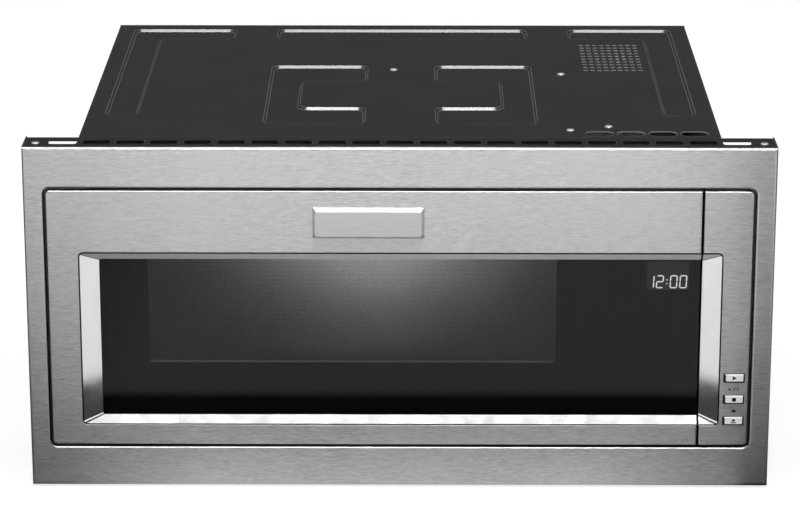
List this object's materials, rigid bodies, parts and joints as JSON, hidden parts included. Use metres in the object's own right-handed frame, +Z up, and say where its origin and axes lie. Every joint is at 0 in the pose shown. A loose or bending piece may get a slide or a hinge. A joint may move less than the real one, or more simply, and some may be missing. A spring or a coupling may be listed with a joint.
{
  "type": "built-in microwave oven",
  "caption": "Built-in microwave oven with a slim steel trim, side-hinged glass door, narrow push-button strip, turntable and vented black cabinet.",
  "frame": {"origin": "centre of the bounding box on the floor the trim and the feet stand on", "axes": "+X to the right of a person facing the door, +Y to the back, +Z up"},
  "size_m": [0.756, 0.557, 0.36],
  "materials": {
    "steel": "fine horizontal brushing",
    "bright": "polished",
    "key": "satin",
    "black_paint": "satin black",
    "zinc": "plain zinc coated sheet",
    "screws": "plated",
    "enamel": "grey enamel",
    "glass_dark": "dark tinted",
    "glass_clear": "clear",
    "print": "black print",
    "plastic": "black moulding",
    "screen": "black perforated sheet",
    "choke": "plain sheet",
    "board": "circuit board",
    "rubber": "soft",
    "mica": "mica sheet",
    "white_plastic": "moulding",
    "aluminium": "bare",
    "iron": "varnished sheets",
    "copper": "enamelled wire"
  },
  "bodies": {
    "chassis": {"trim_frame": "steel", "trim_vent_top": "black_paint", "trim_vent_bottom": "black_paint", "trim_rails": "zinc", "trim_screws": "screws", "top_panel": "black_paint", "side_panels": "black_paint", "base_pan": "zinc", "back_panel": "zinc", "front_plate": "enamel", "exhaust_louvre": "zinc", "cabinet_screws": "screws", "feet": "rubber", "cord_gland": "plastic", "cavity_wrap": "enamel", "cavity_floor": "enamel", "waveguide": "zinc", "waveguide_cover": "mica", "magnetron_yoke": "zinc", "magnetron_anode": "aluminium", "transformer_core": "iron", "transformer_winding": "copper", "capacitor": "aluminium", "fan_shroud": "white_plastic", "fan_motor": "iron", "cavity_lamp": "white_plastic", "control_board": "board", "turntable_motor": "iron", "hinge_brackets": "zinc", "latch_housing": "plastic", "solenoid": "iron", "interlock_switches": "plastic", "panel_bezel": "bright", "panel_skin": "steel", "panel_shell": "plastic", "key_board": "board"},
    "door": {"door_skin": "steel", "door_bezel": "bright", "door_glass": "glass_dark", "door_mask": "print", "display_module": "print", "touch_board": "board", "door_shell": "plastic", "hinge_bushes": "white_plastic", "door_choke": "choke", "door_screen": "screen", "door_inner_panel": "plastic", "latch_hooks": "plastic", "badge_plate": "bright"},
    "start_key": {"start_button": "key"},
    "cancel_key": {"cancel_button": "key"},
    "open_key": {"open_button": "key"},
    "turntable": {"glass_tray": "glass_clear", "drive_coupler": "white_plastic"},
    "ring": {"roller_ring": "white_plastic"},
    "roller_a": {"roller_a": "white_plastic"},
    "roller_b": {"roller_b": "white_plastic"},
    "roller_c": {"roller_c": "white_plastic"},
    "fan_wheel": {"fan_impeller": "white_plastic"},
    "latch": {"latch_bar": "plastic"}
  },
  "joints": [
    {"name": "door_hinge", "type": "hinge", "parent": "chassis", "child": "door", "pos_m": [-0.3414, -0.2655, 0.18], "axis": [0, 0, -1], "range_deg": [0, 110]},
    {"name": "start_press", "type": "slide", "parent": "chassis", "child": "start_key", "axis": [0, 1, 0], "range_m": [0, 0.0012], "stiffness_N_per_m": 800},
    {"name": "cancel_press", "type": "slide", "parent": "chassis", "child": "cancel_key", "axis": [0, 1, 0], "range_m": [0, 0.0012], "stiffness_N_per_m": 800},
    {"name": "open_press", "type": "slide", "parent": "chassis", "child": "open_key", "axis": [0, 1, 0], "range_m": [0, 0.0012], "stiffness_N_per_m": 800},
    {"name": "turntable_spin", "type": "hinge", "parent": "chassis", "child": "turntable", "pos_m": [-0.055, -0.029, 0.1145], "axis": [0, 0, 1], "continuous": true},
    {"name": "ring_spin", "type": "hinge", "parent": "chassis", "child": "ring", "pos_m": [-0.055, -0.029, 0.10725], "axis": [0, 0, 1], "continuous": true},
    {"name": "fan_spin", "type": "hinge", "parent": "chassis", "child": "fan_wheel", "pos_m": [0.26, 0.259, 0.205], "axis": [0, 1, 0], "continuous": true},
    {"name": "latch_slide", "type": "slide", "parent": "chassis", "child": "latch", "axis": [0, 0, 1], "range_m": [0, 0.004]},
    {"name": "roller_a_spin", "type": "hinge", "parent": "ring", "child": "roller_a", "pos_m": [-0.055, 0.083, 0.10725], "axis": [0, 1, 0], "continuous": true},
    {"name": "roller_b_spin", "type": "hinge", "parent": "ring", "child": "roller_b", "pos_m": [-0.15199, -0.085, 0.10725], "axis": [-0.866, -0.5, 0], "continuous": true},
    {"name": "roller_c_spin", "type": "hinge", "parent": "ring", "child": "roller_c", "pos_m": [0.04199, -0.085, 0.10725], "axis": [0.866, -0.5, 0], "continuous": true}
  ],
  "couplings": [
    {"joint": "ring_spin", "follows": "turntable_spin", "ratio": 0.5},
    {"joint": "roller_a_spin", "follows": "turntable_spin", "ratio": -8},
    {"joint": "roller_b_spin", "follows": "turntable_spin", "ratio": -8},
    {"joint": "roller_c_spin", "follows": "turntable_spin", "ratio": -8}
  ]
}
